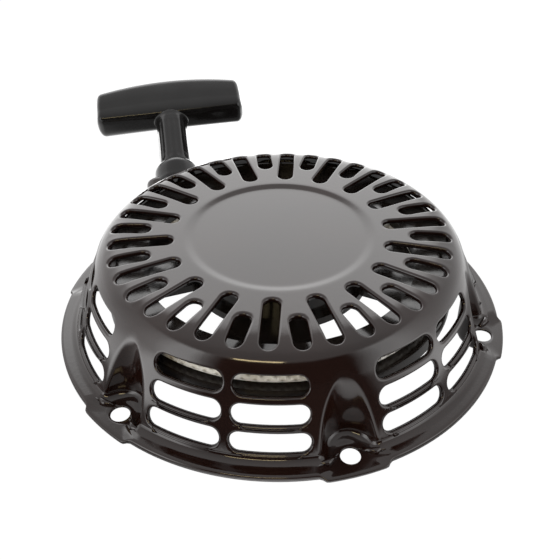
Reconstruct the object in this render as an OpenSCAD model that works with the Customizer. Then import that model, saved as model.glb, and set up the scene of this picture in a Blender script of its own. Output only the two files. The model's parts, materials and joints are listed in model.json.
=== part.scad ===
// Recoil starter for a small four-stroke engine, in millimetres.
// The origin is the centre of the bolt circle, in the plane of the undersides of the six ears.
// +Z points away from the engine, out through the slotted face of the case.

/* [Case] */
// outside diameter of the turned rim
rim_d = 230; // [224:1:236]
// height of the slotted face above the mounting plane
case_h = 49.3; // [48.5:0.1:50.5]
// thickness of the pressed sheet
sheet = 1.6; // [1.2:0.1:1.8]
// how far the centre disc is pressed in
disc_drop = 0.9; // [0.6:0.1:1.4]
// radius of the centre disc
disc_r = 45; // [42:0.5:48]
// width of the radial slots in the face
face_slot_w = 7.6; // [6:0.1:8]
// height of the slots in the wall
wall_slot_h = 9; // [7:0.1:9.6]

/* [Mounting] */
// diameter of the bolt circle
bolt_circle_d = 213; // [211:0.5:215]
// radius of the bolt holes
bolt_hole_r = 4.5; // [3.2:0.1:5]
// radius of the pocket pressed around each bolt
pocket_r = 12.3; // [11:0.1:13]
// direction of the first ear
ear_az = -73.7; // [-75:0.1:-72]

/* [Reel and rope] */
// diameter of the rope
rope_d = 5; // [4:0.1:5.4]
// radius to the middle of the outermost turn
rope_r = 84.2; // [82:0.1:84.6]
// number of windows in the reel
windows = 4; // [3:1:6]
// thickness of the recoil spring strip
strip_t = 0.7; // [0.4:0.1:1]

/* [Handle] */
// length of the crossbar
bar_l = 94; // [88:1:104]
// length of the stem from the guide to the crossbar
stem_l = 40.5; // [37:0.5:44]
// upward tilt of the rope outlet
tilt = 19; // [15:0.5:22]
// direction in which the rope leaves
pull_az = 99; // [97:0.5:102]

/* [Hidden] */
$fn = 96;
rim_r = rim_d / 2;
bolt_r = bolt_circle_d / 2;
flare = 0.38;
wall_off = sheet / cos(atan(flare));
out_x = -62.1;
out_y = 89.6;
out_z = 35.6;
boss_r = 18.5;
boss_top = 40.5;
reel_z0 = 24;
web_t = 4;
groove_z = 30;
cup_r = 42;
window_in = 46;
window_out = 68;
window_half = 22;
spin_r = 8;
post_r = 30;
window_az = -48.5;
knot_az = 30.5;
slots_az = -93.54;

// ---- pressed steel case -------------------------------------------------------------------

// outer radius of the flared wall at a height
function wall_r(z) = 94.7 + (35.4 - z) * flare;

// outer line of the case from the middle of the face down to the wall foot, moved in by t
function shell_line(t) = let (dz = case_h - 49.3) [
    [0, case_h - disc_drop - t],
    [disc_r - 1.5, case_h - disc_drop - t],
    [disc_r, case_h - disc_drop * 0.75 - t],
    [disc_r + 1.5, case_h - disc_drop * 0.25 - t],
    [disc_r + 3, case_h - t],
    [80 - t * 0.2, case_h - 0.2 - t],
    [84 - t * 0.3, 48.8 + dz - t],
    [87.3 - t * 0.6, 46.8 + dz - t * 0.9],
    [89.6 - t * 0.8, 44.3 + dz - t * 0.75],
    [91.9 - t, 41.4 + dz * 0.8 - t * 0.5],
    [wall_r(35.4) - wall_off * (t > 0 ? 1 : 0), 35.4],
    [wall_r(6.5) - wall_off * (t > 0 ? 1 : 0), 6.5]
];

// bar with round ends, length l along X, width w
module stadium(l, w) {
    square([l - w, w], center = true);
    translate([-(l - w) / 2, 0]) circle(d = w);
    translate([(l - w) / 2, 0]) circle(d = w);
}

module at_ears() {
    for (k = [0:5]) rotate(ear_az + 60 * k) translate([bolt_r, 0, 0]) children();
}

// flat pad under an ear, its outer edge on the line of the rim
module ear_pad() {
    intersection() {
        translate([-9.5, -16, 0]) cube([20, 32, sheet]);
        translate([-bolt_r, 0, -1]) cylinder(h = 4, r = rim_r + 1.9, $fn = 180);
    }
}

// eighteen long and eighteen short radial slots
module face_slots() {
    translate([0, 0, 40]) linear_extrude(20)
        for (k = [0:17]) {
            rotate(slots_az + 20 * k) translate([(53.1 + 85.1) / 2, 0]) stadium(32, face_slot_w);
            rotate(slots_az + 10 + 20 * k) translate([(65 + 85.4) / 2, 0]) stadium(20.4, face_slot_w);
        }
}

// three rows of slots, two columns between each pair of ears
module wall_slots() {
    for (k = [0:5])
        for (side = [-1, 1])
            for (row = [0:2])
                if (!(k == 3 && side == -1)) {
                    z = 35.4 - 12.25 * row;
                    chord = 2 * wall_r(z) * sin(10);
                    rotate(ear_az + 30 + 60 * k + side * 11.1)
                        translate([78, 0, z])
                            rotate([90, 0, 90]) linear_extrude(40) stadium(chord, wall_slot_h);
                }
}

// frame on the rope outlet: +Z runs out along the rope, X points down, Y along the crossbar
module at_outlet() {
    translate([out_x, out_y, out_z]) rotate([0, 90 - tilt, pull_az]) children();
}

// pressed boss around the rope outlet, square to the rope, moved in by t
module outlet_boss(t) {
    intersection() {
        at_outlet() translate([0, 0, -32]) cylinder(h = 21.5 - t, r = boss_r - t);
        translate([-110, 40, 5]) cube([110, 80, boss_top - t - 5]);
    }
}

module starter_case() {
    color([0.09, 0.09, 0.1])
    difference() {
        union() {
            difference() {
                rotate_extrude($fn = 180)
                    polygon(concat(shell_line(0), [[106.4, 5], [108, 3.6], [110, 3], [0, 3]]));
                at_ears() translate([0, 0, sheet]) cylinder(h = 60, r = pocket_r);
            }
            rotate_extrude($fn = 180) polygon([[104, 1.4], [rim_r - 2.6, 1.4], [rim_r - 1.6, 0.4],
                [rim_r, 0.4], [rim_r, 1.6], [rim_r - 1.4, 3], [104, 3]]);
            at_ears() ear_pad();
            outlet_boss(0);
        }
        outlet_boss(sheet);
        difference() {
            rotate_extrude($fn = 180)
                polygon(concat(shell_line(sheet), [[106.4 - wall_off, 4.6], [108, 2], [108.6, -1], [0, -1]]));
            at_ears() cylinder(h = 60, r = pocket_r + sheet);
            at_ears() translate([-9.5, -16, -2]) cube([20, 32, 2 + sheet]);
        }
        at_ears() translate([0, 0, sheet]) cylinder(h = 8, r = pocket_r);
        at_ears() translate([0, 0, -1]) cylinder(h = 5, r = bolt_hole_r, $fn = 48);
        face_slots();
        wall_slots();
        at_outlet() translate([0, 0, -40]) cylinder(h = 44, r = 13.4, $fn = 64);
    }
}

// ---- rope outlet --------------------------------------------------------------------------

// moulded bell that leads the rope out of the wall
module rope_guide() {
    color([0.13, 0.13, 0.14])
    at_outlet() rotate_extrude($fn = 96) polygon([[3.2, -4], [3.2, -13], [4.6, -16], [7, -18.3], [8.8, -18.3],
        [12.6, -16.8], [13.3, -15], [13.3, -5], [12.9, -2.8], [11.9, -1.2], [10.7, -0.3], [9.6, 0],
        [4.6, 0], [3.6, -1.2]]);
}

// ---- centre of the case -------------------------------------------------------------------

// turned post welded under the centre disc, with the collar that holds the spring's inner eye
module case_spindle() {
    color([0.62, 0.62, 0.64])
    difference() {
        union() {
            translate([0, 0, 15.5]) cylinder(h = 16, r = spin_r);
            translate([0, 0, 28.4]) cylinder(h = case_h - disc_drop - sheet - 29.4, r = 11);
            translate([0, 0, case_h - disc_drop - sheet - 2]) cylinder(h = 2, r = 17);
        }
        translate([0, 0, 15]) cylinder(h = 17, r = 3.05, $fn = 48);
        translate([8.2, -1, 30]) cube([4, 2, 12]);
    }
}

module centre_screw() {
    color([0.75, 0.75, 0.77])
    difference() {
        union() {
            translate([0, 0, 14.2]) cylinder(h = 15, r = 3, $fn = 48);
            translate([0, 0, 9.4]) cylinder(h = 3.8, r = 5.77, $fn = 6);
            translate([0, 0, 13.2]) cylinder(h = 1, r = 7, $fn = 48);
        }
        translate([0, 0, 9]) cylinder(h = 2, r = 2.6, $fn = 48);
    }
}

module screw_washer() {
    color([0.7, 0.7, 0.72])
    translate([0, 0, 14.2]) difference() {
        cylinder(h = 1.3, r = 12);
        translate([0, 0, -1]) cylinder(h = 4, r = 3.05, $fn = 48);
    }
}

// ---- reel ---------------------------------------------------------------------------------

// corner points of one window: outer arc out, inner arc back
window_line = [for (a = [-window_half:4:window_half]) window_out * [cos(a), sin(a)],
    for (a = [window_half:-4:-window_half]) window_in * [cos(a), sin(a)]];

module starter_reel() {
    color([0.55, 0.55, 0.56])
    difference() {
        union() {
            translate([0, 0, reel_z0]) cylinder(h = web_t, r = 70, $fn = 180);
            translate([0, 0, 20.5]) cylinder(h = 4, r = 14);
            rotate_extrude($fn = 180) polygon([[cup_r - 3, 27], [cup_r, 27], [cup_r, 43], [cup_r - 3, 43]]);
            rotate_extrude($fn = 180) polygon([[69, 24], [84.6, 24], [84.6, 19], [85.2, 18.4], [87.4, 18.4],
                [88, 19], [88, 25.4], [87.4, 26.2], [78, 26.9], [71.5, 27.4], [71.5, 33.4], [78, 34],
                [85.6, 34.4], [86.8, 35.6], [86.8, 41.8], [86.4, 42.2], [84.8, 42.2], [84.4, 41.8],
                [84.4, 36.4], [69, 36.4]]);
            for (s = [0, 180]) rotate(s) translate([post_r, 0, 17.6]) cylinder(h = 7, r = 3, $fn = 48);
        }
        translate([0, 0, 19]) cylinder(h = 12, r = spin_r + 1.5);
        for (k = [0:windows - 1]) rotate(window_az + 360 / windows * k)
            translate([0, 0, reel_z0 - 1]) linear_extrude(web_t + 2) polygon(window_line);
        rotate(knot_az) translate([66, 0, groove_z]) rotate([0, 90, 0]) cylinder(h = 8, r = 2.7, $fn = 32);
        rotate(knot_az + 90) translate([cup_r - 4.4, -1.5, 29]) cube([2.4, 3, 13]);
    }
}

module reel_bush() {
    color([0.72, 0.56, 0.3])
    translate([0, 0, 20.5]) difference() {
        cylinder(h = 7.5, r = spin_r + 1.5);
        translate([0, 0, -1]) cylinder(h = 10, r = spin_r + 0.05);
    }
}

module spring_cover() {
    color([0.5, 0.5, 0.52])
    translate([0, 0, 43]) difference() {
        cylinder(h = 1, r = cup_r);
        translate([0, 0, -1]) cylinder(h = 3, r = 19);
    }
}

// one edge of the strip: turns wind from the inner eye out to the cup wall
function coil_r(a) = 12.4 + (cup_r - 17) * pow(a / 3780, 0.82);
function coil_edge(off) = [for (a = [0:10:3780]) [(coil_r(a) + off) * cos(a), (coil_r(a) + off) * sin(a)]];
function backwards(list) = [for (i = [len(list) - 1:-1:0]) list[i]];

module recoil_spring() {
    color([0.35, 0.4, 0.5])
    rotate(knot_az - 90) translate([0, 0, 29])
        linear_extrude(13) polygon(concat(coil_edge(0), backwards(coil_edge(strip_t))));
}

// ---- rope ---------------------------------------------------------------------------------

// the two inner turns, one over the other in the depth of the groove
module rope_coil() {
    color([0.93, 0.91, 0.86])
    translate([0, 0, groove_z]) rotate_extrude($fn = 144) {
        for (k = [0, 1]) translate([rope_r - 0.3 - rope_d - k * (rope_d - 0.2), 0]) circle(d = rope_d, $fn = 24);
    }
}

module reel_knot() {
    color([0.93, 0.91, 0.86])
    rotate(knot_az) translate([0, 0, groove_z + 1.3]) {
        translate([63.8, 0, 0]) sphere(r = 4.2, $fn = 40);
        translate([64, 0, -1.3]) rotate([0, 90, 0]) cylinder(h = 7.3, r = 2.45, $fn = 32);
    }
}

// points of a smooth curve through four control points
function curve(p, t) = pow(1 - t, 3) * p[0] + 3 * t * pow(1 - t, 2) * p[1]
    + 3 * t * t * (1 - t) * p[2] + t * t * t * p[3];
function unit(v) = v / norm(v);

// tube of radius r with n sides along a list of points
function ring_at(path, i, r, n) = let (
        a = path[max(i - 1, 0)],
        b = path[min(i + 1, len(path) - 1)],
        d = unit(b - a),
        u = unit(cross(d, [0, 0, 1])),
        v = cross(u, d)
    ) [for (k = [0:n - 1]) path[i] + r * (cos(360 * k / n) * u + sin(360 * k / n) * v)];
module tube(path, r, n) {
    count = len(path);
    points = [for (i = [0:count - 1]) each ring_at(path, i, r, n)];
    sides = [for (i = [0:count - 2], k = [0:n - 1])
        [i * n + k, i * n + (k + 1) % n, (i + 1) * n + (k + 1) % n, (i + 1) * n + k]];
    ends = [[for (k = [n - 1:-1:0]) k], [for (k = [0:n - 1]) (count - 1) * n + k]];
    polyhedron(points = points, faces = concat(sides, ends), convexity = 4);
}

pull = [cos(tilt) * cos(pull_az), cos(tilt) * sin(pull_az), sin(tilt)];
mouth = [out_x, out_y, out_z];
leave_az = 152;
leave_dir = [sin(leave_az), -cos(leave_az), 0];
inlet = mouth - 17.5 * pull;
function on_reel(a) = [rope_r * cos(a), rope_r * sin(a), groove_z];

// the outer turn on the reel and the run from it to the mouth of the guide
module rope_run() {
    color([0.93, 0.91, 0.86])
    tube(concat([for (a = [330:-6:6]) on_reel(leave_az + a)],
        [for (i = [0:10]) curve([on_reel(leave_az), on_reel(leave_az) + 12 * leave_dir,
            inlet - 8 * pull, inlet], i / 10)]), rope_d / 2, 10);
}

// from the mouth of the guide up the stem to the knot
module rope_lead() {
    color([0.93, 0.91, 0.86])
    at_outlet() translate([0, 0, -16.9]) cylinder(h = 16.9 + stem_l + 4, r = rope_d / 2, $fn = 32);
}

// ---- handle -------------------------------------------------------------------------------

// outline of the crossbar seen from above: arched outer edge, straight inner edge, round corners
arch = bar_l / 2 - 8;
bar_line = [for (a = [-90:6:0]) [bar_l / 2 - 7 + 7 * cos(a), 7 + 7 * sin(a)],
    for (a = [0:6:84]) [arch + 8 * cos(a), 14.5 + 8 * sin(a)],
    for (i = [1:15]) let (y = arch * (1 - i / 8)) [y, 22.5 + 8 * (1 - pow(y / arch, 2))],
    for (a = [96:6:180]) [-arch + 8 * cos(a), 14.5 + 8 * sin(a)],
    for (a = [180:6:270]) [-bar_l / 2 + 7 + 7 * cos(a), 7 + 7 * sin(a)]];
bar_t = 21.8;
// the crossbar is a little thicker on its lower side, where the fingers close round it
bar_low = 1;
// the handle may turn on its rope: its right end stands this many degrees up
bar_spin = 2.8;

module handle_grip() {
    color([0.12, 0.12, 0.13])
    at_outlet() rotate([0, 0, -bar_spin]) difference() {
        union() {
            translate([bar_low, 0, 0]) intersection() {
                translate([bar_t / 2, 0, stem_l]) rotate([90, 0, -90]) linear_extrude(bar_t) polygon(bar_line);
                translate([0, 0, stem_l - 5]) linear_extrude(45) {
                    square([bar_t, bar_l - 14], center = true);
                    square([bar_t - 14, bar_l], center = true);
                    for (i = [-1, 1], j = [-1, 1])
                        translate([i * (bar_t / 2 - 7), j * (bar_l / 2 - 7)]) circle(r = 7);
                }
            }
            translate([0, 0, 0.3]) rotate_extrude() polygon([[0, 0], [9.2, 0], [9.7, 1], [9.5, 12], [9.7, 24],
                [10.2, stem_l - 7], [11.2, stem_l - 2.5], [12.4, stem_l], [0, stem_l + 3]]);
        }
        translate([0, 0, -1]) cylinder(h = stem_l + 10, r = rope_d / 2 + 0.3, $fn = 32);
        translate([0, 0, stem_l + 4]) cylinder(h = 30, r = 6.2, $fn = 48);
    }
}

module handle_washer() {
    color([0.7, 0.7, 0.72])
    at_outlet() translate([0, 0, stem_l + 4]) difference() {
        cylinder(h = 1.2, r = 6, $fn = 48);
        translate([0, 0, -1]) cylinder(h = 4, r = rope_d / 2 + 0.3, $fn = 32);
    }
}

module handle_knot() {
    color([0.93, 0.91, 0.86])
    at_outlet() {
        translate([0, 0, stem_l + 10.3]) sphere(r = 5, $fn = 40);
        translate([0, 0, stem_l + 4.1]) cylinder(h = 4, r = rope_d / 2, $fn = 32);
    }
}

// ---- ratchets -----------------------------------------------------------------------------

// where the peg of a ratchet stands when the guide has turned by g degrees
ratchet_gain = 1.12;
function turned(v, a) = [v[0] * cos(a) - v[1] * sin(a), v[0] * sin(a) + v[1] * cos(a)];
function peg(g) = [post_r, 0] + turned([-9, -10], ratchet_gain * g);

module ratchet() {
    translate([0, 0, 18.4]) difference() {
        union() {
            translate([post_r, 0, 0]) cylinder(h = 4, r = 6, $fn = 48);
            linear_extrude(4) polygon([[26, -5.2], [17.4, -12], [14.6, -20], [16, -24.6], [19.6, -25.4],
                [23, -21], [26.6, -13], [35.4, -2.4], [31, 2]]);
            translate([peg(0)[0], peg(0)[1], -2.9]) cylinder(h = 4, r = 1.8, $fn = 32);
        }
        translate([post_r, 0, -1]) cylinder(h = 8, r = 3.05, $fn = 48);
    }
}

module ratchet_1() {
    color([0.6, 0.6, 0.58]) ratchet();
}

module ratchet_2() {
    color([0.6, 0.6, 0.58]) rotate(180) ratchet();
}

module ratchet_springs() {
    color([0.75, 0.75, 0.77])
    for (s = [0, 180]) rotate(s) translate([post_r, 0, 23.2]) {
        rotate_extrude() translate([4.2, 0]) circle(r = 0.5, $fn = 16);
        translate([4.2, 0, 0]) rotate([-90, 0, 0]) cylinder(h = 9, r = 0.5, $fn = 16);
    }
}

// cam plate that swings the ratchets out as the reel starts to turn
module ratchet_guide() {
    color([0.66, 0.66, 0.68])
    translate([0, 0, 15.7]) difference() {
        union() {
            cylinder(h = 1.8, r = 20);
            for (s = [0, 180]) rotate(s) linear_extrude(1.8) polygon([[12, -2], [25, -5], [27.5, -12],
                [25.4, -24], [21.5, -29], [16, -28.5], [12.5, -22], [6, -16]]);
        }
        translate([0, 0, -1]) cylinder(h = 4, r = spin_r + 0.06);
        for (s = [0, 180]) rotate(s) for (g = [0:2.5:25])
            translate(concat(turned(peg(g), -g), [-1])) cylinder(h = 4, r = 2.3, $fn = 32);
    }
}

module friction_spring() {
    color([0.75, 0.75, 0.77])
    translate([0, 0, 18.5]) {
        rotate_extrude() translate([9.4, 0]) circle(r = 0.7, $fn = 16);
        translate([9.2, 0, 0]) rotate([0, 90, 0]) cylinder(h = 8, r = 0.7, $fn = 16);
    }
}

starter_case();
case_spindle();
rope_guide();
centre_screw();
screw_washer();
starter_reel();
reel_bush();
spring_cover();
recoil_spring();
rope_coil();
reel_knot();
ratchet_springs();
ratchet_1();
ratchet_2();
ratchet_guide();
friction_spring();
rope_run();
rope_lead();
handle_grip();
handle_washer();
handle_knot();
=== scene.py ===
import json
import bmesh
import bpy
import numpy as np
from mathutils import Matrix


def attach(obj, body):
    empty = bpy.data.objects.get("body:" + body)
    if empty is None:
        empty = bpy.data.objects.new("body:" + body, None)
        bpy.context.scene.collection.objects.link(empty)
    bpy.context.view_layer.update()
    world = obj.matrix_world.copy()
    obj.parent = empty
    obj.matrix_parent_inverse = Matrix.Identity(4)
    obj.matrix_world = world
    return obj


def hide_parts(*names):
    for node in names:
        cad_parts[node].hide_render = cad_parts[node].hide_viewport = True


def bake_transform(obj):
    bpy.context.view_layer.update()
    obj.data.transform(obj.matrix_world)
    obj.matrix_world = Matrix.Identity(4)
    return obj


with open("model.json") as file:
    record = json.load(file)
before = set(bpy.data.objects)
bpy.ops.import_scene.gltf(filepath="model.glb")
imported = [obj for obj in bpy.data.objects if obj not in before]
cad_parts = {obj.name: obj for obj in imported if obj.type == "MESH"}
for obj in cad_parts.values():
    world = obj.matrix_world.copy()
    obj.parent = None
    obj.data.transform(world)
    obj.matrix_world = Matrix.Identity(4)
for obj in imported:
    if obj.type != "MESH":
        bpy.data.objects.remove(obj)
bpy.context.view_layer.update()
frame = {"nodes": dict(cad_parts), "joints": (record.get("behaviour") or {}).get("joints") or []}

# ---- Camera --------------------------------------------------------------------------------
# A hand-held view from the front, about 37 degrees above the table, close enough that the near
# rim looks larger than the far one.
MM = 0.001
eye = np.array([0.0, -0.3134, 0.2591])
dip, roll, pan = np.radians([37.465, -0.466, 0.018])
ahead = np.array([np.sin(pan) * np.cos(dip), np.cos(pan) * np.cos(dip), -np.sin(dip)])
side = np.array([np.cos(pan), -np.sin(pan), 0.0])
over = np.cross(side, ahead)
camera = bpy.data.objects.new("camera", bpy.data.cameras.new("camera"))
camera.data.sensor_width, camera.data.lens, camera.data.clip_start = 36, 48.33, 0.01


def placed(x, y, z, at):
    """Matrix of an object whose axes are x, y and z and whose origin is at."""
    return Matrix([[*row] for row in np.vstack([np.column_stack([x, y, z, at]), [0, 0, 0, 1]])])


camera.matrix_world = placed(side * np.cos(roll) + over * np.sin(roll),
                             over * np.cos(roll) - side * np.sin(roll), -ahead, eye)
bpy.context.scene.collection.objects.link(camera)
bpy.context.scene.camera = camera

# ---- Table and light -----------------------------------------------------------------------
# A white table that glows evenly, inside a tent of white cloth with brighter cloth behind and two
# soft lights at the front corners. The tent is open at the front, so that the front of the case
# mirrors a dark room and one warm lamp.
def shader(name):
    """New material with its node tree; returns it, its nodes, its links and its Principled node."""
    mat = bpy.data.materials.new(name)
    mat.use_nodes = True
    nodes, links = mat.node_tree.nodes, mat.node_tree.links
    return mat, nodes, links, nodes["Principled BSDF"]


def number(tree, operation, *values):
    """Math node in a node tree, on sockets or plain numbers; returns its output socket."""
    node = tree.nodes.new("ShaderNodeMath")
    node.operation = operation
    for i, value in enumerate(values):
        if isinstance(value, (int, float)):
            node.inputs[i].default_value = value
        else:
            tree.links.new(value, node.inputs[i])
    return node.outputs[0]


def slope(tree, value, low, high, out_low=0.0, out_high=1.0):
    """Smooth step of a socket, from out_low at low to out_high at high."""
    node = tree.nodes.new("ShaderNodeMapRange")
    node.interpolation_type = "SMOOTHSTEP"
    for label, x in (("From Min", low), ("From Max", high), ("To Min", out_low), ("To Max", out_high)):
        node.inputs[label].default_value = x
    tree.links.new(value, node.inputs["Value"])
    return node.outputs["Result"]


def group(name, sockets_in, sockets_out):
    """New shader node group; sockets_in are name, kind and value, sockets_out name and kind."""
    tree = bpy.data.node_groups.new(name, "ShaderNodeTree")
    for label, kind, value in sockets_in:
        made = tree.interface.new_socket(label, in_out="INPUT", socket_type="NodeSocket" + kind)
        made.default_value = value
    for label, kind in sockets_out:
        tree.interface.new_socket(label, in_out="OUTPUT", socket_type="NodeSocket" + kind)
    return tree, tree.nodes, tree.links


def add(data, name):
    """Object with this data, linked to the scene."""
    obj = bpy.data.objects.new(name, data)
    bpy.context.scene.collection.objects.link(obj)
    return obj


# light from each side of the tent, by the azimuth from straight behind, in degrees
brightest = 4.0
cloths = [(-180, 0.05), (-147, 0.05), (-138, 1.3), (-130, 3.8), (-119, 3.8), (-109, 2.2), (-95, 1.5),
          (-75, 1.25), (-50, 1.7), (-36, 2.2), (-24, 3.4), (13, 3.5), (20, 1.9), (35, 1.6), (60, 1.3),
          (85, 1.4), (99, 1.9), (112, 2.9), (124, 2.6), (134, 1.2), (141, 0.05)]
tent, nodes, links = group("tent_sides", [("X", "Float", 0.0), ("Y", "Float", 0.0)], [("Light", "Float")])
given = nodes.new("NodeGroupInput").outputs
turn = number(tent, "MULTIPLY_ADD", number(tent, "ARCTAN2", given["X"], given["Y"]), 0.5 / np.pi, 0.5)
ramp = nodes.new("ShaderNodeValToRGB")
links.new(turn, ramp.inputs["Fac"])
for i, (az, light) in enumerate(cloths):
    stop = ramp.color_ramp.elements[i] if i < 2 else ramp.color_ramp.elements.new(1.0)
    stop.position = az / 360 + 0.5
    stop.color = (light / brightest, light / brightest, light / brightest, 1)
glow = number(tent, "MULTIPLY", ramp.outputs["Color"], brightest)
links.new(glow, nodes.new("NodeGroupOutput").inputs["Light"])


def tent_sides(tree, spot):
    """Tent light at the azimuth of a separated vector, in a node tree."""
    node = tree.nodes.new("ShaderNodeGroup")
    node.node_tree = tent
    for axis in "XY":
        tree.links.new(spot.outputs[axis], node.inputs[axis])
    return node.outputs["Light"]


def mixed(tree, share, low, high):
    """Value that goes from low to high with share."""
    node = tree.nodes.new("ShaderNodeMix")
    tree.links.new(share, node.inputs["Factor"])
    for label, value in (("A", low), ("B", high)):
        if isinstance(value, float):
            node.inputs[label].default_value = value
        else:
            tree.links.new(value, node.inputs[label])
    return node.outputs["Result"]


mat, nodes, links, skin = shader("white_table")
skin.inputs["Base Color"].default_value = (0.02, 0.02, 0.02, 1)
skin.inputs["Roughness"].default_value = 1.0
skin.inputs["Specular IOR Level"].default_value = 0.0
skin.inputs["Emission Color"].default_value = (1, 1, 1, 1)
tree = mat.node_tree
spot = nodes.new("ShaderNodeSeparateXYZ")
links.new(nodes.new("ShaderNodeTexCoord").outputs["Object"], spot.inputs[0])
reach = number(tree, "SQRT", number(tree, "ADD", number(tree, "POWER", spot.outputs["X"], 2.0),
                                    number(tree, "POWER", spot.outputs["Y"], 2.0)))
close = slope(tree, spot.outputs["Y"], -0.125, -0.10, 1.6, 0.35)
lit = mixed(tree, slope(tree, reach, 0.135, 0.17), close, tent_sides(tree, spot))
seen = nodes.new("ShaderNodeLightPath").outputs["Is Camera Ray"]
links.new(mixed(tree, seen, lit, 1.0), skin.inputs["Emission Strength"])
table = add(bpy.data.meshes.new("table_top"), "table_top")
table.data.from_pydata([(-4, -4, -0.0003), (4, -4, -0.0003), (4, 4, -0.0003), (-4, 4, -0.0003)], [],
                       [(0, 1, 2, 3)])
table.data.materials.append(mat)

world = bpy.data.worlds.new("tent")
world.use_nodes = True
tree = world.node_tree
way = tree.nodes.new("ShaderNodeSeparateXYZ")
tree.links.new(tree.nodes.new("ShaderNodeTexCoord").outputs["Generated"], way.inputs[0])
rise = slope(tree, number(tree, "MULTIPLY_ADD", way.outputs["Y"], -0.07, way.outputs["Z"]), 0.575, 0.70)
roof = slope(tree, way.outputs["Y"], -0.8, 0.3, 0.75, 1.1)
cloth = mixed(tree, rise, tent_sides(tree, way), roof)
seen = tree.nodes.new("ShaderNodeLightPath").outputs["Is Camera Ray"]
tree.links.new(mixed(tree, seen, cloth, 1.0), tree.nodes["Background"].inputs["Strength"])
tree.nodes["Background"].inputs["Color"].default_value = (1, 1, 1, 1)
bpy.context.scene.world = world
bpy.context.scene.view_settings.view_transform = "Standard"

lamp = bpy.data.lights.new("warm_lamp", "AREA")
lamp.shape, lamp.size, lamp.size_y, lamp.energy, lamp.color = "RECTANGLE", 0.7, 0.12, 3.5, (1, 0.8, 0.42)
place = np.array([-0.3, -1.3, 1.05])
back = place / np.linalg.norm(place)
wide = np.cross([0, 0, 1.0], back)
wide /= np.linalg.norm(wide)
add(lamp, "warm_lamp").matrix_world = placed(wide, np.cross(back, wide), back, place)

# ---- Pressed steel case --------------------------------------------------------------------
# One deep-drawn steel pressing, 1.6 mm thick, enamelled gloss black after pressing. The fan
# draws its air through slots whose edges are turned inwards, and six pockets in the flared wall
# make room for the bolts over the flat ears.
disc_r, face_in, face_out = 45.0, 50.6, 86.6
wall_top, wall_foot, lip_z, pad_z = 41.8, 5.6, 3.0, 1.6
rim_r, ear_rim_r, lip_bend, hem_r = 115.0, 117.0, 4.0, 1.4
bolt_r, pocket_r, hole_r = 106.5, 12.3, 4.5
ear_az, ear_half, slot_az = -73.7, 8.1, -93.54
n_arc, n_rad, n_ear, n_col, n_row = 9, 14, 13, 14, 7
line = [(0, 48.4), (30, 48.4), (42, 48.4), (43.6, 48.47), (45.6, 48.85), (47.6, 49.23), (49.2, 49.3),
        (face_in, 49.3), (60, 49.3), (70, 49.3), (77, 49.22), (81, 48.95), (84, 48.35), (86.6, 47.25),
        (88.7, 45.6), (90.3, 43.7), (91.5, 41.8), (93.0, 39.1), (94.7, 35.4), (100.4, 20.4),
        (106.02, wall_foot)]


def smooth_line(points, per=12):
    """Curve through the points by cubic pieces whose tangents come from each point's two neighbours."""
    p = np.asarray(points, float)
    ends = np.vstack([2 * p[0] - p[1], p, 2 * p[-1] - p[-2]])
    t = np.linspace(0, 1, per, endpoint=False)[:, None]
    parts = []
    for a, b, c, d in zip(ends[:-3], ends[1:-2], ends[2:-1], ends[3:]):
        h = np.linalg.norm(c - b)
        m1 = (c - a) / (h + np.linalg.norm(b - a)) * h
        m2 = (d - b) / (np.linalg.norm(d - c) + h) * h
        parts.append(b * (2 * t ** 3 - 3 * t ** 2 + 1) + m1 * (t ** 3 - 2 * t ** 2 + t)
                     + c * (3 * t ** 2 - 2 * t ** 3) + m2 * (t ** 3 - t ** 2))
    return np.vstack(parts + [p[-1:]])


profile = smooth_line(line)
along = np.arange(len(profile))
tangent = np.gradient(profile, axis=0)
tangent /= np.linalg.norm(tangent, axis=1)[:, None]


def smooth(x):
    """Smooth step from 0 to 1."""
    x = np.clip(x, 0, 1)
    return x * x * (3 - 2 * x)


def height_at(r):
    """Height of the skin at a radius, on the face."""
    return np.interp(r, profile[:, 0], profile[:, 1])


def radius_at(z):
    """Radius of the skin at a height, on the wall."""
    return np.interp(-np.asarray(z), -profile[:, 1], profile[:, 0])


def ring_points(r, az, z):
    """Points from radius, azimuth in degrees and height."""
    r, az, z = np.broadcast_arrays(r, np.radians(az), z)
    return np.stack([r * np.cos(az), r * np.sin(az), z], -1)


def skin_normal(p):
    """Outward normals of the turned skin at points p, across the tangent of its profile."""
    r = np.hypot(p[..., 0], p[..., 1])
    on_face = np.interp(r, profile[:, 0], along)
    on_wall = np.interp(-p[..., 2], -profile[:, 1], along)
    at = np.where(p[..., 2] > 44, on_face, on_wall)
    s = [np.interp(at, along, tangent[:, k]) for k in (0, 1)]
    return np.stack([-s[1] * p[..., 0] / r, -s[1] * p[..., 1] / r, s[0]], -1)


def stadium(length, width, n_end, n_side):
    """Outline of a slot along X as one closed loop of four runs: end, side, end, side, each from 45
    degrees on one round end to 45 degrees on the next. An end has n_end steps and a side n_side."""
    r, c = width / 2, (length - width) / 2
    q = max(2, n_side // 4)
    cap = np.radians(np.linspace(-45, 45, n_end + 1))
    end = np.stack([c + r * np.cos(cap), r * np.sin(cap)], -1)
    up = np.radians(np.linspace(45, 90, q + 1))
    flat = np.linspace(c, -c, n_side - 2 * q + 1)[1:-1]
    start = np.stack([c + r * np.cos(up), r * np.sin(up)], -1)
    top = np.vstack([start, np.stack([flat, np.full_like(flat, r)], -1), start[::-1] * [-1, 1]])
    return np.vstack([end[:-1], top[:-1], -end[:-1], -top])


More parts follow.
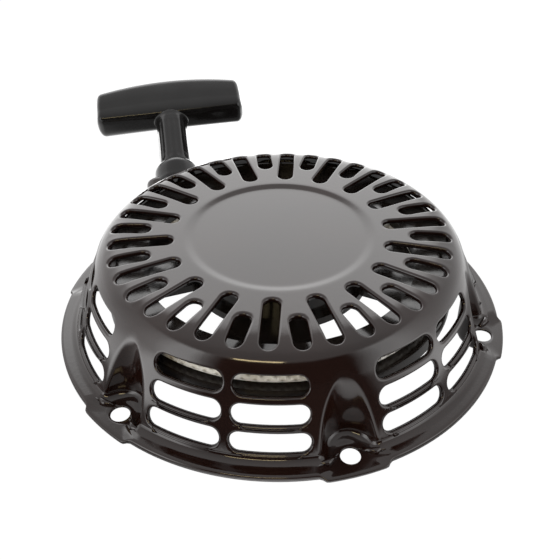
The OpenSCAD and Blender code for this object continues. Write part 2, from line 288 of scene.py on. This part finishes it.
def slot_cell(border, slot_at, to_skin, roll, lip):
    """Skin between a cell's border loop and its slot, and the slot's turned-in lip: the border is drawn
    towards the slot's outline enlarged by roll, then rolls over a quarter circle and goes straight in.
    slot_at(d) is the outline enlarged by d, and to_skin lays flat points on the skin."""
    wide = slot_at(roll)
    rows = [to_skin(border + (wide - border) * t) for t in (0, 0.4, 0.75)]
    for a in np.radians([0, 22.5, 45, 67.5, 90]):
        p = to_skin(slot_at(roll * (1 - np.sin(a))))
        rows.append(p - skin_normal(p) * roll * (1 - np.cos(a)))
    rows.append(p - skin_normal(p) * lip)
    return np.array(rows)


patches = []

# centre disc and the ring round it, in the same columns as the slotted ring
columns = slot_az - 5 + np.linspace(0, 360, 36 * n_arc + 1)
rings = np.concatenate([[0], np.linspace(8, 40, 5), np.linspace(42, face_in, 12)])
patches.append(ring_points(rings[:, None], columns, height_at(rings)[:, None]))


def polar(r, az):
    """Flat points from radius and azimuth in degrees."""
    return np.stack([r * np.cos(np.radians(az)), r * np.sin(np.radians(az))], -1)


# slotted ring: 36 cells of 10 degrees round a long and a short slot by turns. The cells of the
# long slots are a little wider near the centre, so that the skin is shared out evenly.
for k in range(36):
    long = k % 2 == 0
    near, far = (53.1, 85.1) if long else (65.2, 85.4)
    cell_r = np.linspace(face_in, face_out, n_rad + 1)
    swell = 1.25 * smooth((cell_r - face_in) / 4) * smooth((69 - cell_r) / 13)
    edge = 5 + swell * (1 if long else -1)
    arc = np.linspace(-1, 1, n_arc + 1)
    skip = 0 if long else 4
    if skip:
        patches.append(ring_points(cell_r[:skip + 1, None], slot_az + 10 * k + arc * edge[:skip + 1, None],
                                   height_at(cell_r[:skip + 1])[:, None]))
    cell_r, edge = cell_r[skip:], edge[skip:]
    border = np.vstack([polar(face_out, arc * 5)[:-1], polar(cell_r, edge)[::-1][:-1],
                        polar(cell_r[0], arc * edge[0])[::-1][:-1], polar(cell_r, -edge)])

    def face_slot(d):
        """Outline of this cell's slot, enlarged by d."""
        return stadium(far - near + 2 * d, 7.7 + 2 * d, n_arc, n_rad - skip) + [(near + far) / 2, 0]

    def on_face(q):
        """Flat points of this cell laid on the face."""
        r = np.hypot(q[:, 0], q[:, 1])
        return ring_points(r, slot_az + 10 * k + np.degrees(np.arctan2(q[:, 1], q[:, 0])), height_at(r))

    patches.append(slot_cell(border, face_slot, on_face, 1.15, 2.3))

# columns of the wall from one ear to the next: half a pocket, two columns of slots, half a pocket
slot_cols = np.concatenate([np.linspace(ear_half, 30, n_col + 1),
                            np.linspace(30, 60 - ear_half, n_col + 1)[1:]])
sector = np.concatenate([np.linspace(0, ear_half, n_ear + 1)[:-1], slot_cols,
                         np.linspace(60 - ear_half, 60, n_ear + 1)[1:]])

# rolled shoulder: its columns slide from the face's even steps to the wall's
at = np.linspace(np.interp(face_out, profile[:, 0], along), np.interp(-wall_top, -profile[:, 1], along), 10)
shoulder = [np.interp(at, along, profile[:, c])[:, None] for c in (0, 1)]
step = columns[1] - columns[0]
first = round((ear_az - columns[0]) / step)
slide = smooth(np.linspace(0, 1, 10))[:, None]
for k in range(6):
    even = columns[0] + step * (first + 6 * n_arc * k + np.arange(len(sector)))
    patches.append(ring_points(shoulder[0], even + (ear_az + 60 * k + sector - even) * slide, shoulder[1]))


def pocket_row(z):
    """Half outline of the wall at one height, from the ear's edge to its middle, in the ear's own frame
    (X outwards), with its outward normals: the flared wall, a rounded edge, then the pocket's circle.
    Near its top the pocket fades into the wall, and there the columns are evenly spread."""
    big = float(radius_at(z))
    dent = (big - bolt_r + pocket_r) / 2 + np.hypot(big - bolt_r + pocket_r, 1.6) / 2
    centre_r = big - dent * smooth((wall_top - z) / 6) + pocket_r
    edge_r = 2.6 + 3.4 * smooth((z - 8) / 26)
    even = np.radians(np.linspace(ear_half, 0, n_ear + 1))
    if big + pocket_r - centre_r < 0.01:
        m = np.stack([np.cos(even), np.sin(even)], -1)
        return big * m, m
    core = big - edge_r
    c = np.arccos((core ** 2 + centre_r ** 2 - (pocket_r + edge_r) ** 2) / (2 * core * centre_r))
    hub = core * np.array([np.cos(c), np.sin(c)])
    spin = np.arctan2(hub[1], hub[0] - centre_r)
    a = np.linspace(np.radians(ear_half), c, 61)
    b = np.linspace(c, spin - np.pi, 61)
    d = np.linspace(spin, np.pi, 61)
    m = [np.stack([np.cos(v), np.sin(v)], -1) for v in (a, b, d)]
    p = np.vstack([big * m[0][:-1], (hub + edge_r * m[1])[:-1], [centre_r, 0] + pocket_r * m[2]])
    m = np.vstack([m[0][:-1], m[1][:-1], -m[2]])
    pick = np.concatenate([np.linspace(0, 60, 4)[:-1], np.linspace(60, 120, 6)[:-1],
                           np.linspace(120, 180, 6)])
    spread = np.interp(-even, -np.arctan2(p[:, 1], p[:, 0]), np.arange(181))
    pick = spread + (pick - spread) * smooth((39 - z) / 9)
    return tuple(np.stack([np.interp(pick, np.arange(181), v[:, i]) for i in (0, 1)], -1) for v in (p, m))


def in_ear(p, z, az, mirror):
    """Points of an ear's own frame set at azimuth az and height z, mirrored across the ear for -1."""
    c, s = np.cos(np.radians(az)), np.sin(np.radians(az))
    x, y = p[..., 0], mirror * p[..., 1]
    return np.stack(np.broadcast_arrays(x * c - y * s, x * s + y * c, z), -1)


cell_z = np.linspace(wall_top, wall_foot, 3 * n_row + 1)
pocket = np.array([pocket_row(z)[0] for z in cell_z])
for k in range(6):
    az = ear_az + 60 * k
    for mirror in (1, -1):
        patches.append(in_ear(pocket, cell_z[:, None], az, mirror))
    for half, lean in ((0, -11.1), (1, 11.1)):
        cols = slot_cols[half * n_col:(half + 1) * n_col + 1] - 30 - lean
        for row, (mid_z, tall) in enumerate(((35.4, 9.0), (23.15, 9.0), (10.95, 8.7))):
            zs = cell_z[row * n_row:(row + 1) * n_row + 1]
            mid_r = float(radius_at(mid_z))
            if k == 3 and half == 0:
                patches.append(ring_points(radius_at(zs)[:, None], az + 30 + lean + cols, zs[:, None]))
                continue

            def unrolled(a, z):
                """Azimuths and heights as flat points about the slot's middle."""
                return np.stack(np.broadcast_arrays(np.radians(a) * mid_r, z - mid_z), -1)

            border = np.vstack([unrolled(cols[-1], zs[::-1])[:-1], unrolled(cols[::-1], zs[0])[:-1],
                                unrolled(cols[0], zs)[:-1], unrolled(cols, zs[-1])])

            def wall_slot(d):
                """Outline of this slot, enlarged by d."""
                return stadium(np.radians(19.8) * mid_r + 2 * d, tall + 2 * d, n_row, n_col)

            def on_wall(q):
                """Flat points of this cell laid on the wall."""
                z = mid_z + q[:, 1]
                return ring_points(radius_at(z), az + 30 + lean + np.degrees(q[:, 0] / mid_r), z)

            patches.append(slot_cell(border, wall_slot, on_wall, 1.0, 2.2))

# foot, lip and hem: the skin bends out into the lip and rolls down at the rim. At the ears it
# bends into the flat pad, which is lower, reaches a little further out and has the bolt hole.
bend = np.radians(np.linspace(0, 90, 7))[:, None]
hem = np.radians(np.linspace(0, 90, 6))[:, None]
rim_az = np.linspace(ear_half + 0.9, 0, n_ear + 1)
p, m = pocket_row(wall_foot)
turn_in = np.abs(np.arctan2(m[:, 1], m[:, 0]) - np.arctan2(p[:, 1], p[:, 0]))
level = lip_z - (lip_z - pad_z) * smooth(np.minimum(turn_in, 2 * np.pi - turn_in) / np.radians(60))
tail = smooth((rim_az - 6.6) / 1.6)
ear_edge = ear_rim_r - (ear_rim_r - rim_r) * tail
edge_z = pad_z + (lip_z - pad_z) * smooth((rim_az - 6.4) / 2.4)
foot = p + m * lip_bend
rim_in = polar(ear_edge - hem_r, rim_az)
flank = foot[0] + (rim_in[0] - foot[0]) * np.linspace(0, 1, 6)[1:, None]
loop = np.vstack([foot[::-1], flank, rim_in[1:]])
loop_z = np.concatenate([level[::-1], np.full(5, lip_z), edge_z[1:]])
around = np.degrees(np.linspace(np.pi, 0, len(loop)))
for k in range(6):
    az = ear_az + 60 * k
    for mirror in (1, -1):
        patches.append(in_ear(p + m * lip_bend * (1 - np.cos(bend))[..., None],
                              wall_foot + (level - wall_foot) * np.sin(bend), az, mirror))
        rows = [in_ear(loop + ([bolt_r, 0] + polar(hole_r + 0.5, around) - loop) * t,
                       loop_z + (pad_z - loop_z) * min(1, t * 1.6), az, mirror) for t in np.linspace(0, 1, 6)]
        rows += [in_ear([bolt_r, 0] + polar(hole_r + 0.5 * (1 - np.sin(a)), around),
                        pad_z - 0.5 * (1 - np.cos(a)), az, mirror) for a in np.radians([30, 60, 90])]
        rows.append(in_ear([bolt_r, 0] + polar(hole_r, around), 0.9, az, mirror))
        patches.append(np.array(rows))
        low = 0.4 * tail
        rows = [in_ear(polar(ear_edge - hem_r * (1 - np.sin(a)), rim_az),
                       edge_z - hem_r * (1 - np.cos(a)) * (edge_z - low) / 3, az, mirror)
                for a in hem[:, 0]]
        rows.append(in_ear(polar(ear_edge, rim_az), low, az, mirror))
        patches.append(np.array(rows))
    wall_r = float(radius_at(wall_foot))
    lip_az = az + np.linspace(ear_half + 0.9, 60 - ear_half - 0.9, len(slot_cols))
    rows = [ring_points(wall_r + lip_bend * (1 - np.cos(a)), az + slot_cols,
                        wall_foot + (lip_z - wall_foot) * np.sin(a)) for a in bend[:, 0]]
    inner = ring_points(wall_r + lip_bend, az + slot_cols, lip_z)
    outer = ring_points(rim_r - hem_r, lip_az, lip_z)
    rows += [inner + (outer - inner) * t for t in np.linspace(0, 1, 6)[1:]]
    rows += [ring_points(rim_r - hem_r * (1 - np.sin(a)), lip_az,
                         lip_z - hem_r * (1 - np.cos(a)) * (lip_z - 0.4) / 3) for a in hem[1:, 0]]
    rows.append(ring_points(rim_r, lip_az, 0.4))
    patches.append(np.array(rows))


def stitched(name, patches, tolerance=0.02):
    """One mesh from grids of points in millimetres: quads between neighbours, with points closer than
    the tolerance made one, and the faces turned outwards."""
    quads, base = [], 0
    for p in patches:
        n, m = p.shape[:2]
        i = base + np.arange(n * m).reshape(n, m)
        quads.append(np.stack([i[:-1, :-1], i[1:, :-1], i[1:, 1:], i[:-1, 1:]], -1).reshape(-1, 4))
        base += n * m
    mesh = bpy.data.meshes.new(name)
    points = np.vstack([p.reshape(-1, 3) for p in patches]) * MM
    mesh.from_pydata(points.tolist(), [], np.vstack(quads).tolist())
    work = bmesh.new()
    work.from_mesh(mesh)
    bmesh.ops.remove_doubles(work, verts=work.verts, dist=tolerance * MM)
    bmesh.ops.recalc_face_normals(work, faces=work.faces)
    work.to_mesh(mesh)
    work.free()
    mesh.polygons.foreach_set("use_smooth", [True] * len(mesh.polygons))
    return add(mesh, name)


case = stitched("pressed_case", patches)
thick = case.modifiers.new("sheet", "SOLIDIFY")
thick.thickness, thick.offset = 1.45 * MM, -1


# uneven finish: broad cloudy variation, fine grain and a bump from the grain, from Object coordinates
finish, nodes, links = group("uneven_finish", [("Broad", "Float", 40.0), ("Fine", "Float", 600.0),
                                               ("Depth", "Float", 0.1), ("Height", "Float", 0.0002)],
                             [("Cloud", "Float"), ("Grain", "Float"), ("Normal", "Vector")])
take, give = nodes.new("NodeGroupInput"), nodes.new("NodeGroupOutput")
where = nodes.new("ShaderNodeTexCoord")
for label, out in (("Broad", "Cloud"), ("Fine", "Grain")):
    noise = nodes.new("ShaderNodeTexNoise")
    noise.inputs["Detail"].default_value = 4
    links.new(where.outputs["Object"], noise.inputs["Vector"])
    links.new(take.outputs[label], noise.inputs["Scale"])
    links.new(noise.outputs["Fac"], give.inputs[out])
bump = nodes.new("ShaderNodeBump")
links.new(noise.outputs["Fac"], bump.inputs["Height"])
links.new(take.outputs["Depth"], bump.inputs["Strength"])
links.new(take.outputs["Height"], bump.inputs["Distance"])
links.new(bump.outputs["Normal"], give.inputs["Normal"])


def finish_material(name, dark, light, rough, broad, fine, depth, height, metal=0.0, ior=1.5):
    """Principled material whose colour runs from dark to light with the cloud, whose roughness runs over
    the pair rough with cloud and grain, and whose surface has the grain's bump."""
    mat, nodes, links, skin = shader(name)
    uneven = nodes.new("ShaderNodeGroup")
    uneven.node_tree = finish
    for label, value in (("Broad", broad), ("Fine", fine), ("Depth", depth), ("Height", height)):
        uneven.inputs[label].default_value = value
    ramp = nodes.new("ShaderNodeValToRGB")
    ramp.color_ramp.elements[0].position, ramp.color_ramp.elements[1].position = 0.3, 0.7
    ramp.color_ramp.elements[0].color, ramp.color_ramp.elements[1].color = (*dark, 1), (*light, 1)
    links.new(uneven.outputs["Cloud"], ramp.inputs["Fac"])
    links.new(ramp.outputs["Color"], skin.inputs["Base Color"])
    spread = nodes.new("ShaderNodeMapRange")
    for label, x in (("From Min", 0.3), ("From Max", 0.7), ("To Min", rough[0]), ("To Max", rough[1])):
        spread.inputs[label].default_value = x
    half_grain = number(mat.node_tree, "MULTIPLY", uneven.outputs["Grain"], 0.5)
    wear = number(mat.node_tree, "MULTIPLY_ADD", uneven.outputs["Cloud"], 0.5, half_grain)
    links.new(wear, spread.inputs["Value"])
    links.new(spread.outputs["Result"], skin.inputs["Roughness"])
    links.new(uneven.outputs["Normal"], skin.inputs["Normal"])
    skin.inputs["Metallic"].default_value = metal
    skin.inputs["IOR"].default_value = ior
    return mat


enamel = finish_material("gloss_black_enamel", (0.0075, 0.0028, 0.002), (0.0125, 0.005, 0.0036),
                         (0.05, 0.12), 28, 420, 0.05, 0.0003)
case.data.materials.append(enamel)
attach(case, "case")
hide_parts("starter_case")


def dress(node, mat):
    """Gives a CAD node this material in every slot."""
    data = frame["nodes"][node].data
    if not data.materials:
        data.materials.append(mat)
    for i in range(len(data.materials)):
        data.materials[i] = mat


# ---- Rope outlet ---------------------------------------------------------------------------
# At the back the wall is pressed out into a blunt boss, square to the rope, and a moulded nylon
# bell snaps into its hole. The handle rests on the bell.
pull = np.array(next(j["axis"] for j in frame["joints"] if j["name"] == "handle_pull"))
mouth = np.array([-62.1, 89.6, 35.6])
across = np.array([pull[1], -pull[0], 0]) / np.hypot(pull[0], pull[1])
lift = np.cross(across, pull)


def grid_piece(name, rows, mat, body, nodes=()):
    """Object from a grid of points in millimetres, one closed ring per row."""
    obj = stitched(name, [np.concatenate([rows, rows[:, :1]], 1)], 0.004)
    obj.data.materials.append(mat)
    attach(obj, body)
    if nodes:
        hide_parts(*nodes)


def power(v, p):
    """Signed power, the root of every superellipse here."""
    return np.sign(v) * np.abs(v) ** p


# the boss: a rounded oblong about the rope's line that shrinks over its rounded front edge, and is
# pushed out to the middle of the sheet wherever it would reach inside the wall
boss_w, boss_up, boss_down, boss_out, boss_edge = 18.5, 8.8, 15.0, -10.5, 3.5
spin = np.linspace(0, 2 * np.pi, 80, endpoint=False)
wide, tall = power(np.cos(spin), 0.6), power(np.sin(spin), 0.6)
tall = np.where(tall > 0, boss_up, boss_down) * tall
steps = [(4, -27), (0, -26), (0, -20), (0, boss_out - boss_edge)]
steps += [(boss_edge * (1 - np.cos(a)), boss_out - boss_edge * (1 - np.sin(a)))
          for a in np.radians([22, 45, 68, 90])]
rows = []
for inset, s in steps + [(8.7, boss_out)]:
    shrink = (1 - inset / np.hypot(wide * boss_w, tall))[:, None]
    rows.append(mouth + s * pull + shrink * ((wide * boss_w)[:, None] * across + tall[:, None] * lift))
ends = [np.broadcast_to(rows[i].mean(0), rows[i].shape) for i in (0, -1)]
rows = np.array([ends[0], *rows, ends[1]])
reach = np.hypot(rows[..., 0], rows[..., 1])
push = np.maximum(1, (radius_at(np.clip(rows[..., 2], wall_foot, wall_top)) - 0.7) / reach)
rows[..., :2] *= push[..., None]
grid_piece("outlet_boss", rows, enamel, "case")


def turned_on_pull(profile, n=96, wobble=None):
    """Surface of revolution about the rope's outlet line: profile rows are radius and distance along it,
    wobble(radius, distance, angle) may change the radius."""
    spin = np.linspace(0, 2 * np.pi, n, endpoint=False)
    r, s = profile[:, :1], profile[:, 1:]
    if wobble is not None:
        r = wobble(r, s, spin[None, :])
    r = np.broadcast_to(r, (len(profile), n))
    return (mouth + s[..., None] * pull + r[..., None] * (np.cos(spin)[None, :, None] * across
            + np.sin(spin)[None, :, None] * lift))


moulded = finish_material("moulded_black", (0.0045, 0.004, 0.004), (0.0075, 0.007, 0.007),
                          (0.10, 0.20), 60, 900, 0.10, 0.0002, ior=1.38)
bell = smooth_line([(3.3, -4), (3.3, -12.6), (4.6, -16), (6.6, -18), (8.4, -18.2), (12.2, -16.8),
                    (13.2, -15.2), (13.25, -12), (13.25, -5.4), (12.9, -3.2), (12.0, -1.5), (10.9, -0.6),
                    (9.9, -0.2), (9.2, -0.05), (5.6, -0.05), (4.3, -0.4), (3.5, -1.4), (3.3, -4)], 5)
grid_piece("rope_bell", turned_on_pull(bell), moulded, "case", ["rope_guide"])

# ---- Handle --------------------------------------------------------------------------------
# One black moulding: an arched crossbar for the fingers and a fluted stem that rests on the
# bell. The rope's knot sits on a washer inside the bar.
bar_l, stem_l, bar_t, bar_low, bar_spin = 92.8, 40.5, 21.6, 1.0, np.radians(2.8)
half_l = bar_l / 2
u = np.sin(np.linspace(-np.pi / 2, np.pi / 2, 161))
u = np.sign(u) * (1 - (1 - np.abs(u)) ** 1.2)
spin = np.linspace(0, 2 * np.pi, 120, endpoint=False)
end_r = 4.5
close_end = np.clip((np.abs(u) * half_l - half_l + end_r) / end_r, 0, 1)
thin = np.sqrt(1 - close_end ** 2) * 0.5 + 0.5 * np.sqrt(1 - close_end ** 4)
deep = 1 - (1 - np.sqrt(1 - close_end ** 2)) * 0.42
bar_mid, bar_arch = 30.3, 6.0
depth = bar_mid - bar_arch * (u * half_l / 43) ** 2
tight = np.where((np.cos(spin) < 0) & (np.sin(spin) < 0), 2 / 3.0, 2 / 5.0)
box_d, box_t = power(np.cos(spin), tight), power(np.sin(spin), tight)
bar_x = across * np.cos(bar_spin) + lift * np.sin(bar_spin)
bar_z = lift * np.cos(bar_spin) - across * np.sin(bar_spin)
d = stem_l + depth[:, None] / 2 + (depth * deep)[:, None] / 2 * box_d
t = (bar_t / 2 * thin)[:, None] * box_t * (1 - 0.06 * (box_d < 0) * np.abs(box_t))
rows = (mouth + d[..., None] * pull + (u * half_l)[:, None, None] * bar_x
        + (t[..., None] - bar_low) * bar_z)
grid_piece("handle_bar", rows, moulded, "handle", ["handle_grip"])
stem = smooth_line([(3.0, 0.35), (8.9, 0.35), (9.5, 0.8), (9.7, 2), (9.55, 9), (9.4, 17), (9.4, 27),
                    (9.45, 35), (9.7, 38), (10.4, 39.8), (11.2, 41.0), (8.0, 42.2)], 8)


def flutes(r, s, a):
    """Shallow flutes round the stem, fillets into the bar only on its two sides, and a top that stays
    inside the bar."""
    cut = 0.3 * np.clip((s - 2) / 3, 0, 1) * np.clip((39 - s) / 6, 0, 1) * (0.5 - 0.5 * np.cos(12 * a))
    side = np.abs(np.cos(a)) ** 4
    top = 0.5 * smooth((s - 34) / 6) * np.clip(np.sin(a), 0, 1)
    return np.minimum(r, 9.6) + np.maximum(r - 9.6, 0) * side - cut - top


grid_piece("handle_stem", turned_on_pull(stem, 144, flutes), moulded, "handle")

# ---- Rope ----------------------------------------------------------------------------------
# White braided nylon, 5 mm thick and about 1.6 m long: three turns on the reel, one over the
# other, then off the reel, through the bell and up the stem to its knot in the bar.
braid, nodes, links, skin = shader("white_braid")
split = nodes.new("ShaderNodeSeparateXYZ")
links.new(nodes.new("ShaderNodeUVMap").outputs[0], split.inputs[0])
tree = braid.node_tree
ways = []
for sign in (1, -1):
    lane = number(tree, "MULTIPLY_ADD", split.outputs["Y"], 4.0 * sign, split.outputs["X"])
    ways.append(number(tree, "ABSOLUTE", number(tree, "SINE", number(tree, "MULTIPLY", lane, np.pi))))
length_wave = number(tree, "SINE", number(tree, "MULTIPLY", split.outputs["X"], np.pi * 2))
girth_wave = number(tree, "SINE", number(tree, "MULTIPLY", split.outputs["Y"], np.pi * 8))
over_under = number(tree, "MULTIPLY_ADD", number(tree, "MULTIPLY", length_wave, girth_wave), 0.5, 0.5)
weave = number(tree, "ADD", number(tree, "MULTIPLY", ways[0], over_under),
               number(tree, "MULTIPLY", ways[1], number(tree, "SUBTRACT", 1.0, over_under)))
fuzz = nodes.new("ShaderNodeTexNoise")
where = nodes.new("ShaderNodeTexCoord")
links.new(where.outputs["Object"], fuzz.inputs["Vector"])
fuzz.inputs["Scale"].default_value = 900
# the braid's colour darkens between the strands and where one strand passes under another: painted shade in
# the braid's grooves; the fuzz adds a fine random tone
tone = nodes.new("ShaderNodeValToRGB")
tone.color_ramp.elements[0].position, tone.color_ramp.elements[1].position = 0.15, 0.75
tone.color_ramp.elements[0].color = (0.36, 0.33, 0.28, 1)
tone.color_ramp.elements[1].color = (0.86, 0.84, 0.79, 1)
shade = number(tree, "MULTIPLY_ADD", fuzz.outputs["Fac"], 0.25, number(tree, "MULTIPLY", weave, 0.85))
links.new(shade, tone.inputs["Fac"])
links.new(tone.outputs["Color"], skin.inputs["Base Color"])
bump = nodes.new("ShaderNodeBump")
bump.inputs["Strength"].default_value = 0.9
bump.inputs["Distance"].default_value = 0.0008
links.new(number(tree, "MULTIPLY_ADD", fuzz.outputs["Fac"], 0.2, weave), bump.inputs["Height"])
links.new(bump.outputs["Normal"], skin.inputs["Normal"])
skin.inputs["Roughness"].default_value = 0.75
skin.inputs["Sheen Weight"].default_value = 0.3
rope_d, rope_r, groove_z = 5.0, 84.2, 30.0


def rope_piece(name, path, n=16, pitch=5.5):
    """Rope along a path of points in millimetres, its UV running along in pitches and once round."""
    step = np.gradient(path, axis=0)
    step /= np.linalg.norm(step, axis=1)[:, None]
    u_dir = np.cross(step, [0, 0, 1.0])
    u_dir /= np.linalg.norm(u_dir, axis=1)[:, None]
    v_dir = np.cross(u_dir, step)
    a = np.linspace(0, 2 * np.pi, n + 1)
    rows = path[:, None] + rope_d / 2 * (np.cos(a)[None, :, None] * u_dir[:, None]
                                         + np.sin(a)[None, :, None] * v_dir[:, None])
    along = np.concatenate([[0], np.cumsum(np.linalg.norm(np.diff(path, axis=0), axis=1))]) / pitch
    i = np.arange(len(path) * (n + 1)).reshape(len(path), n + 1)
    quads = np.stack([i[:-1, :-1], i[:-1, 1:], i[1:, 1:], i[1:, :-1]], -1).reshape(-1, 4)
    mesh = bpy.data.meshes.new(name)
    caps = [i[0, :-1][::-1].tolist(), i[-1, :-1].tolist()]
    mesh.from_pydata((rows.reshape(-1, 3) * MM).tolist(), [], quads.tolist() + caps)
    layer = mesh.uv_layers.new(name="braid")
    values = np.stack(np.broadcast_arrays(along[:, None], np.linspace(0, 1, n + 1)), -1).reshape(-1, 2)
    loops = np.zeros(len(mesh.loops), int)
    mesh.loops.foreach_get("vertex_index", loops)
    layer.data.foreach_set("uv", values[loops].ravel())
    mesh.polygons.foreach_set("use_smooth", [True] * len(mesh.polygons))
    mesh.materials.append(braid)
    return add(mesh, name)


leave_az = 152.0
turn = np.radians(np.arange(0, 3 * 360 + 1, 4))
layer_r = rope_r - (rope_d - 0.1) * np.clip(turn / (2 * np.pi), 0, 3)
wound_az = np.radians(leave_az) + turn
wound = np.stack([layer_r * np.cos(wound_az), layer_r * np.sin(wound_az), np.full(len(turn), groove_z)], -1)
rope = rope_piece("rope_on_reel", wound[4:])
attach(rope, "reel")
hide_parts("rope_coil")
start = np.array([rope_r * np.cos(np.radians(leave_az)), rope_r * np.sin(np.radians(leave_az)), groove_z])
heading = np.array([np.sin(np.radians(leave_az)), -np.cos(np.radians(leave_az)), 0])
inlet = mouth - 17.5 * pull
t = np.linspace(0, 1, 40)[:, None]
run = ((1 - t) ** 3 * start + 3 * t * (1 - t) ** 2 * (start + 12 * heading)
       + 3 * t * t * (1 - t) * (inlet - 8 * pull) + t ** 3 * inlet)
straight = inlet + np.linspace(0, 17.5 + stem_l + 4, 60)[1:, None] * pull
lead = rope_piece("rope_to_handle", np.vstack([run, straight]))
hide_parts("rope_run", "rope_lead")
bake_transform(lead)
knotted = finish_material("knotted_nylon", (0.6, 0.57, 0.5), (0.85, 0.83, 0.77), (0.6, 0.9),
                          300, 900, 0.8, 0.0008)
for node in ("reel_knot", "handle_knot"):
    dress(node, knotted)

# ---- Reel, spring and ratchets -------------------------------------------------------------
# Die-cast alloy reel with four windows, on a bronze bush round the turned post; its near-black colour is
# painted shade for the inside of the case. The spring lies in its cup under a thin steel cover, the two
# ratchets and their cam plate below.
# near-black base colour of the reel: painted shade for the inside of the case, on a glossy alloy
alloy = finish_material("alloy_dark_as_painted_shade", (0.010, 0.008, 0.007), (0.018, 0.014, 0.012),
                        (0.10, 0.18), 30, 700, 0.05, 0.0003, ior=1.5)
steel = finish_material("turned_steel", (0.42, 0.42, 0.43), (0.56, 0.56, 0.56),
                        (0.22, 0.38), 80, 1500, 0.15, 0.0002, metal=1.0)
zinc = finish_material("bright_zinc", (0.55, 0.56, 0.57), (0.72, 0.72, 0.70),
                       (0.25, 0.42), 120, 1000, 0.2, 0.0002, metal=1.0)
blue = finish_material("blued_spring", (0.10, 0.12, 0.17), (0.2, 0.2, 0.22),
                       (0.25, 0.4), 90, 1100, 0.2, 0.0002, metal=1.0)
sinter = finish_material("sintered_steel", (0.26, 0.25, 0.24), (0.38, 0.37, 0.35),
                         (0.42, 0.6), 150, 1600, 0.4, 0.0003, metal=1.0)
bronze = finish_material("oiled_bronze", (0.42, 0.27, 0.12), (0.6, 0.42, 0.2),
                         (0.25, 0.42), 110, 1300, 0.2, 0.0002, metal=1.0)
dress("starter_reel", alloy)
dress("reel_bush", bronze)
dress("recoil_spring", blue)
for node in ("case_spindle", "spring_cover"):
    dress(node, steel)
for node in ("centre_screw", "screw_washer", "ratchet_guide", "handle_washer", "ratchet_springs",
             "friction_spring"):
    dress(node, zinc)
for node in ("ratchet_1", "ratchet_2"):
    dress(node, sinter)
